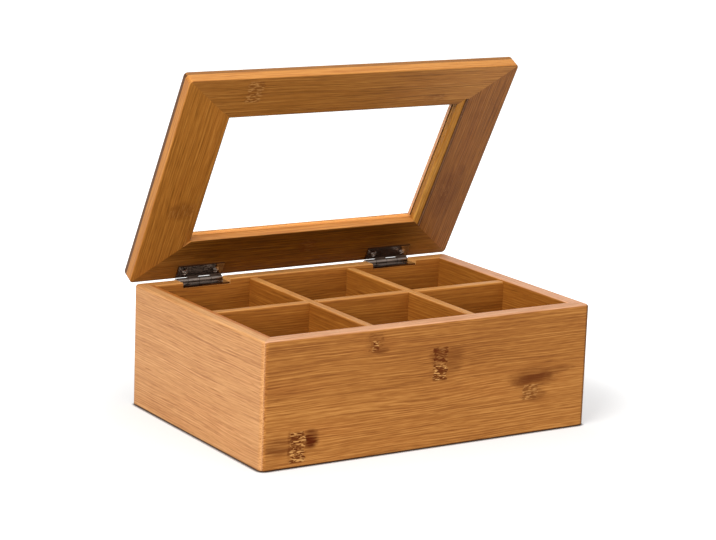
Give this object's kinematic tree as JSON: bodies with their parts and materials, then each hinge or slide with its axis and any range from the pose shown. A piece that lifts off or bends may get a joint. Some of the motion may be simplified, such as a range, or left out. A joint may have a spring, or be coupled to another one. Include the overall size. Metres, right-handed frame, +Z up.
{
  "type": "tea bag organizer box",
  "caption": "Low rectangular bamboo box divided into compartments for tea bags, with a framed see-through lid that swings up on two small rear butt hinges.",
  "frame": {"origin": "centre of the flat underside of the box, on the surface that it stands on", "axes": "+X along the box's width towards the right-hand wall, -Y towards the front wall, away from the hinges, +Z up"},
  "size_m": [0.224, 0.1629, 0.2063],
  "materials": {
    "wall_bamboo": "satin carbonised bamboo, strip laminated, clear lacquer",
    "divider_bamboo": "satin carbonised bamboo board, clear lacquer",
    "panel_bamboo": "satin bamboo panel",
    "lid_bamboo": "satin carbonised bamboo, strip laminated, clear lacquer",
    "bead_bamboo": "satin bamboo strip",
    "window": "clear polished sheet",
    "hinge_nickel": "polished nickel plate on pressed steel",
    "hinge_pin_steel": "polished steel wire",
    "screw_nickel": "polished nickel plate"
  },
  "bodies": {
    "box": {"front_wall": "wall_bamboo", "rear_wall": "wall_bamboo", "left_wall": "wall_bamboo", "right_wall": "wall_bamboo", "base_panel": "panel_bamboo", "long_divider": "divider_bamboo", "left_cross_divider": "divider_bamboo", "right_cross_divider": "divider_bamboo", "left_hinge_box_leaf": "hinge_nickel", "right_hinge_box_leaf": "hinge_nickel", "left_hinge_pin": "hinge_pin_steel", "right_hinge_pin": "hinge_pin_steel", "left_box_screws": "screw_nickel", "right_box_screws": "screw_nickel"},
    "lid": {"lid_front_rail": "lid_bamboo", "lid_rear_rail": "lid_bamboo", "lid_left_rail": "lid_bamboo", "lid_right_rail": "lid_bamboo", "window_pane": "window", "front_bead": "bead_bamboo", "left_bead": "bead_bamboo", "right_bead": "bead_bamboo", "left_hinge_lid_leaf": "hinge_nickel", "right_hinge_lid_leaf": "hinge_nickel", "left_lid_screws": "screw_nickel", "right_lid_screws": "screw_nickel"}
  },
  "joints": [
    {"name": "lid_hinge", "type": "hinge", "parent": "box", "child": "lid", "pos_m": [0, 0.0772, 0.0716], "axis": [-1, 0, 0], "range_deg": [-61.5, 48.5]}
  ]
}
